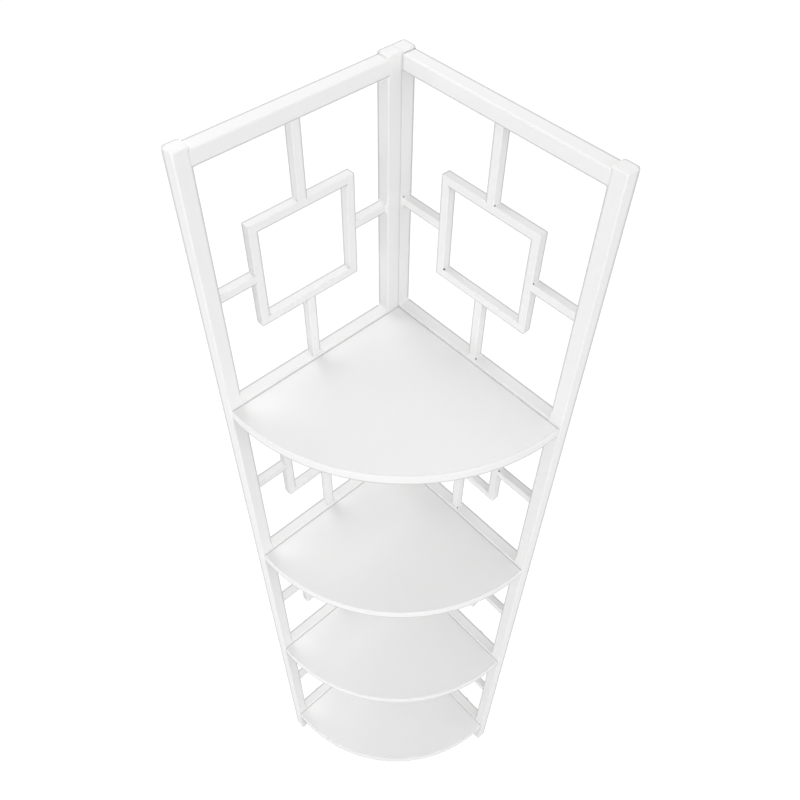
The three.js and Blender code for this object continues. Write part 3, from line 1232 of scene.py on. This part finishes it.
@dataclass
class ButtonHeadBolt(Builder):
    """A button-head bolt with a hexagon socket and a rolled thread at its end.

    node is its node's name, and side the panel that it passes through, with its head to the wall.
    """

    node: str
    side: Side
    shank: float = 6 * MM
    pitch: float = 1.0 * MM
    pitch_steps: int = 8
    thread_depth: float = 0.55 * MM
    thread_length: float = 9.5 * MM
    thread_flank: float = 2.4
    run_out: float = 0.3 * MM
    tip: float = 0.8 * MM
    tip_share: float = 0.8
    head_width: float = 10.5 * MM
    head_height: float = 3.3 * MM
    head_rim: float = 0.35 * MM
    head_steps: int = 8
    crown: float = 4 * MM
    socket: float = 4 * MM
    socket_depth: float = 2 * MM
    socket_lead: float = 0.15 * MM
    drill_depth: float = 4 * MM / 6
    drill_end: float = 4 * MM / 20
    round_steps: int = 36
    sharp: float = 32

    def __post_init__(self) -> None:
        """Reads the bolt's place."""
        middle, half = middle_and_half(self.node)
        reach = abs(half.dot(self.side.out))
        self.seat = middle - (reach - self.head_height) * self.side.out
        self.length = 2 * reach - self.head_height

    def ring(self, height: float, radius: Callable[[float], float]) -> Ring:
        """One ring about the bolt's axis.

        Args:
            height: Height above the head's seat, negative along the shank.
            radius: Gives the radius at an angle.

        Returns:
            The ring's places.
        """
        turns = [math.tau * step / self.round_steps for step in range(self.round_steps)]
        centre = self.seat - height * self.side.out
        return [centre + radius(turn) * (math.cos(turn) * UP + math.sin(turn) * self.side.along)
                for turn in turns]

    def thread(self) -> list[Ring]:
        """Rings of the shank, from its tip to the head's seat.

        Returns:
            Rings whose radius follows the thread's helix.
        """
        full = self.shank / 2
        steps = round(self.pitch_steps * self.thread_length / self.pitch)
        rings = []
        for step in range(steps + 1):
            from_tip = self.thread_length * step / steps
            tapered = full - self.tip_share * self.thread_depth + from_tip
            blunt = tapered if from_tip < self.tip else full

            def radius(turn: float) -> float:
                """Gives the radius of the thread.

                Args:
                    turn: Angle about the axis.

                Returns:
                    The radius at that angle.
                """
                wave = (from_tip / self.pitch - turn / math.tau) % 1
                groove = self.thread_depth * (1 - min(1, self.thread_flank * abs(wave - 0.5)))
                return min(blunt, full - groove)

            rings.append(self.ring(from_tip - self.length, radius))
        run_out = self.run_out + self.thread_length - self.length
        return [*rings, self.ring(run_out, lambda turn: full), self.ring(0, lambda turn: full)]

    def head(self) -> list[Ring]:
        """Rings of the head, from its seat over the dome into the socket.

        Returns:
            The rings.
        """
        edge = self.head_width / 2
        rings = [self.ring(0, lambda turn: edge - self.head_rim)]
        for step in range(self.head_steps + 1):
            angle = QUARTER * step / self.head_steps
            out = edge - (edge - self.crown) * (1 - math.cos(angle))
            height = self.head_rim + (self.head_height - self.head_rim) * math.sin(angle)
            rings.append(self.ring(height, lambda turn, out=out: out))
        flat, floor = self.socket / 2, self.head_height - self.socket_depth
        return [
            *rings,
            self.ring(self.head_height, lambda turn: hexagon(flat + self.socket_lead, turn)),
            self.ring(self.head_height - self.socket_lead, lambda turn: hexagon(flat, turn)),
            self.ring(floor, lambda turn: hexagon(flat, turn)),
            self.ring(floor - self.drill_depth, lambda turn: self.drill_end)]

    def build(self) -> None:
        """Turns the bolt."""
        skin = Skin()
        skin.loft(self.thread() + self.head())
        self.settle(skin.piece(f"{self.node}_turned", self.sharp), Slot.BOLT, self.node)


@dataclass
class PostPlug(Builder):
    """A moulding pressed into a post's end, with painted shade on its edges beside the wall.

    place is the post that it closes. Its slot is CAP for a cap on top and GLIDE for a glide
    underneath.
    """

    place: PostPlace
    slot: Slot
    stem_inset: float = 1.7 * MM
    skirt: float = 3.5 * MM
    skirt_inset: float = 0.05 * MM
    seam_edge: float = 0.12 * MM
    rim: float = 1.8 * MM
    edge_radius: float = 1.6 * MM
    edge_steps: int = 8
    corner_growth: float = 1.6 * MM
    least_corner: float = 0.15 * MM
    groove_height: float = 0.0
    groove_depth: float = 0.4 * MM
    wall_past: float = 0.3
    # Share of the painted edge shade on the corners next to the wall
    corner_shade: float = 0.6

    def __post_init__(self) -> None:
        """Reads the moulding's place."""
        capped = self.slot is Slot.CAP
        self.node = f"{self.place.label}_cap" if capped else f"{self.place.label}_glide"
        low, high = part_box(self.node)
        post_low, post_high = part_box(f"{self.place.label}_post")
        self.base = post_high.z if capped else post_low.z
        self.sign = 1 if capped else -1
        self.rise = high.z - post_high.z if capped else post_low.z - low.z
        self.stem = high.z - low.z - self.rise

    def inset(self, height: float, radius: float) -> float:
        """How far an edge of that radius has drawn in at a height above the post's end."""
        above = (height - self.rise + radius) / radius
        return radius * (1 - math.sqrt(max(0.0, 1 - above * above))) if above > 0 else 0.0

    def section(self, height: float, stem: float = 0.0, groove: float = 0.0,
                edge_shaded: bool = False) -> tuple[Ring, list[float]]:
        """Ring of the moulding at one height.

        Args:
            height: Height above the post's end, negative inside the post.
            stem: Inset of the stem.
            groove: Depth of the groove on the rail's side.
            edge_shaded: The ring lies on the rounded edge, which takes painted shade beside the wall.

        Returns:
            The ring's places and their rims.
        """
        edge = stem + self.inset(height, self.edge_radius)
        low, high = self.place.corners()
        draw = {"-x": edge, "+x": edge + groove, "-y": edge, "+y": edge}
        if self.place.seam_side:
            draw[self.place.seam_side] = stem + self.inset(height, self.seam_edge)
        growth = self.corner_growth * max(0.0, height / self.rise)
        radii = []
        for (x, y), radius in zip(QUARTERS, self.place.radii()):
            drawn = min(draw["+x" if x > 0 else "-x"], draw["+y" if y > 0 else "-y"])
            wider = growth if radius > self.place.seam_corner else 0.0
            radii.append(max(self.least_corner, radius + wider - drawn))
        outline = rounded_rectangle(
            (low.x + draw["-x"], low.y + draw["-y"]), (high.x - draw["+x"], high.y - draw["+y"]),
            radii, Steps(shoulders=(self.rim, self.rim)))
        rims = []
        # Painted shade on the rounded edge beside the wall, and a share of it on the corners next to the
        # wall
        for stop in outline.stops:
            met = sorted(self.place.wall.dot(end.to_3d()) for end in stop.ends)
            corner = met[0] < self.wall_past and met[1] > FACING
            beside = edge_shaded and self.place.wall.dot(stop.normal.to_3d()) > FACING
            rims.append(1.0 if beside else self.corner_shade if corner else 0.0)
        return outline.ring(lambda point: Vector((point.x, point.y, self.base + self.sign * height))), rims

    def build(self) -> None:
        """Moulds the plug, from its stem's end to its face."""
        sections = [
            self.section(-self.stem, stem=self.stem_inset),
            self.section(-self.skirt, stem=self.stem_inset),
            self.section(-self.skirt, stem=self.skirt_inset)]
        if self.groove_height:
            sections.append(self.section(0, groove=self.groove_depth))
            sections.append(self.section(self.groove_height, groove=self.groove_depth))
        sections.append(self.section(self.groove_height))
        for step in range(self.edge_steps + 1):
            turn = QUARTER * step / self.edge_steps
            height = self.rise - self.edge_radius * (1 - math.sin(turn))
            sections.append(self.section(height, edge_shaded=step > 0))
        face, _ = self.section(self.rise, stem=self.rim)
        sections.append((face, [0.0] * len(face)))
        rings, rims = zip(*sections)
        skin = Skin()
        skin.loft(rings, marks=rims)
        self.settle(skin.piece(f"{self.node}_moulding"), self.slot, self.node)


# Stage, light and camera


def direction(around: float, height: float) -> Vector:
    """Direction from the unit by degrees from X towards Y and degrees above the floor."""
    turn, lift = math.radians(around), math.radians(height)
    return Vector((math.cos(turn) * math.cos(lift), math.sin(turn) * math.cos(lift), math.sin(lift)))


@dataclass(frozen=True)
class Softbox:
    """A large square lamp, aimed at the unit's middle."""

    name: str
    around: float
    height: float
    power: float
    width: float = 1.5
    distance: float = 3.0
    aim: tuple[float, float, float] = (0.0, 0.0, 0.8)

    def light(self) -> None:
        """Hangs the lamp by its angles round the unit and turns it to the unit."""
        lamp = bpy.data.lights.new(self.name, "AREA")
        lamp.energy = self.power
        lamp.size = self.width
        box = bpy.data.objects.new(self.name, lamp)
        away = direction(self.around, self.height)
        box.location = Vector(self.aim) + self.distance * away
        box.rotation_euler = away.to_track_quat("Z", "Y").to_euler()
        box.visible_camera = False
        bpy.context.scene.collection.objects.link(box)


@dataclass(frozen=True)
class Camera:
    """The camera, by its place and the direction in which it looks."""

    place: tuple[float, float, float] = (0.45928, -0.43024, 1.91802)
    azimuth: float = 46.3678
    look_down: float = 50.2213
    roll: float = 1.2194
    focal_length: float = 37.03
    sensor_width: float = 36
    nearest: float = 0.01

    def set_up(self) -> None:
        """Makes the scene's camera."""
        camera = bpy.data.cameras.new("camera")
        camera.lens = self.focal_length
        camera.sensor_width = self.sensor_width
        camera.clip_start = self.nearest
        around, down = math.radians(self.azimuth), math.radians(self.look_down)
        back = Vector((
            math.sin(around) * math.cos(down), -math.cos(around) * math.cos(down), math.sin(down)))
        right = (-back).cross(UP).normalized()
        upwards = right.cross(-back)
        turn = math.radians(self.roll)
        across = right * math.cos(turn) + upwards * math.sin(turn)
        upright = upwards * math.cos(turn) - right * math.sin(turn)
        stand = bpy.data.objects.new("camera", camera)
        stand.matrix_world = Matrix.Translation(self.place) @ Matrix(
            (across, upright, back)).transposed().to_4x4()
        bpy.context.scene.collection.objects.link(stand)
        bpy.context.scene.camera = stand


@dataclass(frozen=True)
class Studio:
    """White floor, white surroundings and softboxes."""

    floor_width: float = 30.0
    floor_shade: float = 0.40
    floor_bounce: float = 0.185
    floor_glow: float = 0.91
    floor_catch: float = 0.18
    ambient: float = 0.383
    sky: float = 0.556
    sky_side: Pair = (45, 30)
    softboxes: tuple[Softbox, ...] = (
        Softbox("left_high_softbox", 180, 60, 21.0),
        Softbox("left_softbox", 180, 25, 9.1),
        Softbox("front_high_softbox", 270, 60, 9.0),
        Softbox("front_low_softbox", 270, 5, 25.4),
        Softbox("front_right_softbox", 315, 5, 16.4),
        Softbox("right_softbox", 0, 25, 13.1),
    )

    def show(self, tree: bpy.types.NodeTree, thrown: Socket, shown: Socket, output: str) -> None:
        """Gives the eye one shader and the light another.

        Args:
            tree: Node tree that holds them.
            thrown: Shader that lights the unit.
            shown: Shader for camera, glossy and transmission rays, which show the background.
            output: Type of the tree's output node.
        """
        path = tree.nodes.new("ShaderNodeLightPath")
        total = path.outputs["Is Camera Ray"]
        for ray in ("Is Glossy Ray", "Is Transmission Ray"):
            total = add_node(tree, "ShaderNodeMath", {0: total, 1: path.outputs[ray]}, operation="MAXIMUM")
        mix = add_node(tree, "ShaderNodeMixShader", {"Fac": total, 1: thrown, 2: shown})
        fill(tree, tree.nodes.new(output), {"Surface": mix})

    def lay_floor(self) -> None:
        """Lays the floor, which is white to the eye and keeps a faint shadow."""
        mesh = bmesh.new()
        bmesh.ops.create_grid(mesh, x_segments=1, y_segments=1, size=self.floor_width / 2)
        data = bpy.data.meshes.new("floor")
        mesh.to_mesh(data)
        mesh.free()
        floor = bpy.data.objects.new("floor", data)
        bpy.context.scene.collection.objects.link(floor)
        material = bpy.data.materials.new("white_floor")
        material.use_nodes = True
        tree = material.node_tree
        tree.nodes.clear()
        shaders = [
            add_node(tree, "ShaderNodeAddShader", {
                0: add_node(tree, "ShaderNodeEmission", {"Strength": glow}),
                1: add_node(tree, "ShaderNodeBsdfDiffuse", {"Color": (shade,) * 3 + (1,)})})
            for glow, shade in (
                (self.floor_bounce, self.floor_shade), (self.floor_glow, self.floor_catch))]
        self.show(tree, *shaders, "ShaderNodeOutputMaterial")
        data.materials.append(material)

    def fill_room(self) -> None:
        """Makes the surroundings white to the eye and softly bright to the unit."""
        world = bpy.data.worlds.new("white_room")
        bpy.context.scene.world = world
        world.use_nodes = True
        tree = world.node_tree
        tree.nodes.clear()
        white = (1, 1, 1, 1)
        facing = add_node(tree, "ShaderNodeVectorMath", {
            0: add_node(tree, "ShaderNodeTexCoord", {}, "Generated"),
            1: direction(*self.sky_side)}, "Value", operation="DOT_PRODUCT")
        brightness = add_node(tree, "ShaderNodeMapRange", {
            "Value": facing, "To Min": self.ambient, "To Max": self.ambient + self.sky}, "Result")
        thrown, shown = [
            add_node(tree, "ShaderNodeBackground", {"Color": white, "Strength": strength})
            for strength in (brightness, 1.0)]
        self.show(tree, thrown, shown, "ShaderNodeOutputWorld")

    def set_up(self) -> None:
        """Lays the floor and lights the room."""
        self.lay_floor()
        self.fill_room()
        for lamp in self.softboxes:
            lamp.light()
        bpy.context.scene.view_settings.view_transform = "Standard"


def main() -> None:
    """Builds the camera, the stage and every sub-assembly in order."""
    logging.basicConfig(level=logging.INFO, format="%(name)s: %(message)s")
    Camera().set_up()
    Studio().set_up()
    finishes = Finishes()
    for side in Side:
        LatticePanel(finishes, side).build()
    for level in LEVELS:
        FoldedShelf(finishes, level).build()
    for side in Side:
        for level in LEVELS:
            for count in (1, 2):
                ButtonHeadBolt(finishes, f"{side.label}_shelf_bolt_{level}_{count}", side).build()
    for count in (1, 2, 3):
        ButtonHeadBolt(finishes, f"corner_bolt_{count}", Side.RIGHT).build()
    for place in PostPlace:
        groove = 0.9 * MM if place is PostPlace.RIGHT_CORNER else 0.0
        PostPlug(finishes, place, Slot.CAP, groove_height=groove).build()
        PostPlug(finishes, place, Slot.GLIDE, edge_radius=0.8 * MM, edge_steps=4).build()


if __name__ == "__main__":
    main()
